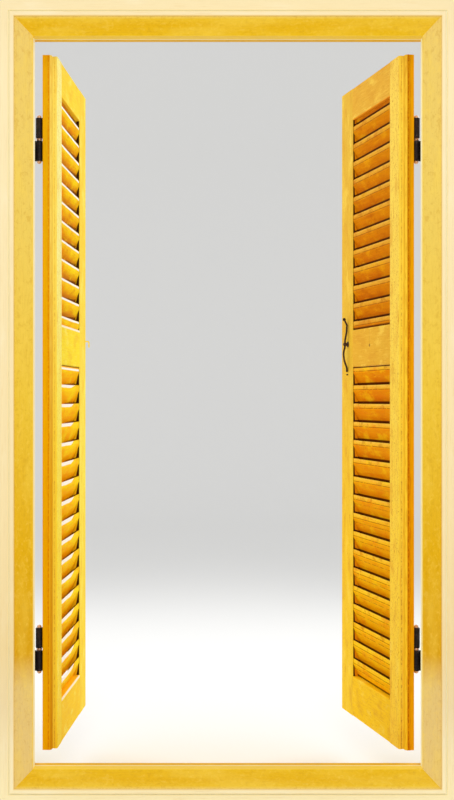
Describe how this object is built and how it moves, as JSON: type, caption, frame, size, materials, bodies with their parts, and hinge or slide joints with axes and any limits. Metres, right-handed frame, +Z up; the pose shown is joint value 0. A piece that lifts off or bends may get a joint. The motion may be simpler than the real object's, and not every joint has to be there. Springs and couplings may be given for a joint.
{
  "type": "shuttered window frame",
  "caption": "Painted timber window frame with a flat casing and a pair of outward-opening louvred shutters on pin hinges, held closed by a turning hook latch.",
  "frame": {"origin": "centre of the sill's underside across the window, at half the depth of the frame", "axes": "+X to the right seen from the room, +Y outdoors, the way the leaves open, +Z up"},
  "size_m": [1.232, 0.6711, 2.112],
  "materials": {
    "frame_paint": "golden yellow paint, brushed by hand",
    "casing_paint": "cream paint, worn and brushed",
    "leaf_paint": "warm yellow paint over wood grain",
    "slat_paint": "warm yellow paint, orange in the shade",
    "hinge_iron": "dark brown, worn",
    "hinge_copper": "pale copper, dulled",
    "screw_iron": "browned",
    "latch_iron": "forged, dark brown",
    "keeper_paint": "painted over with the leaf"
  },
  "bodies": {
    "frame": {"casing_bottom": "casing_paint", "casing_left": "casing_paint", "casing_right": "casing_paint", "casing_top": "casing_paint", "frame_head": "frame_paint", "frame_left_jamb": "frame_paint", "frame_right_jamb": "frame_paint", "frame_sill": "frame_paint", "left_bottom_finials": "hinge_copper", "left_frame_flaps": "hinge_iron", "left_frame_screws": "screw_iron", "left_hinge_pins": "hinge_iron", "left_hinge_rings": "hinge_copper", "right_bottom_finials": "hinge_copper", "right_frame_flaps": "hinge_iron", "right_frame_screws": "screw_iron", "right_hinge_pins": "hinge_iron", "right_hinge_rings": "hinge_copper"},
    "left_leaf": {"left_bottom_rail": "leaf_paint", "left_hinge_stile": "leaf_paint", "left_latch_keeper": "keeper_paint", "left_leaf_flaps": "hinge_iron", "left_leaf_screws": "screw_iron", "left_lower_slats": "slat_paint", "left_meeting_stile": "leaf_paint", "left_mid_rail": "leaf_paint", "left_top_finials": "hinge_copper", "left_top_rail": "leaf_paint", "left_upper_slats": "slat_paint"},
    "right_leaf": {"right_bottom_rail": "leaf_paint", "right_hinge_stile": "leaf_paint", "right_latch_peg": "latch_iron", "right_latch_post": "latch_iron", "right_leaf_flaps": "hinge_iron", "right_leaf_screws": "screw_iron", "right_lower_slats": "slat_paint", "right_meeting_stile": "leaf_paint", "right_mid_rail": "leaf_paint", "right_top_finials": "hinge_copper", "right_top_rail": "leaf_paint", "right_upper_slats": "slat_paint"},
    "latch": {"right_latch_lever": "latch_iron"}
  },
  "joints": [
    {"name": "left_leaf_hinge", "type": "hinge", "parent": "frame", "child": "left_leaf", "pos_m": [-0.5025, 0.099, 1], "axis": [0, 0, 1], "range_deg": [-87.5, 92.5]},
    {"name": "right_leaf_hinge", "type": "hinge", "parent": "frame", "child": "right_leaf", "pos_m": [0.5025, 0.099, 1], "axis": [0, 0, 1], "range_deg": [-103, 77]},
    {"name": "latch_pivot", "type": "hinge", "parent": "right_leaf", "child": "latch", "pos_m": [0.34904, 0.50899, 1.18187], "axis": [0.9744, 0.225, 0], "range_deg": [0, 90]}
  ]
}
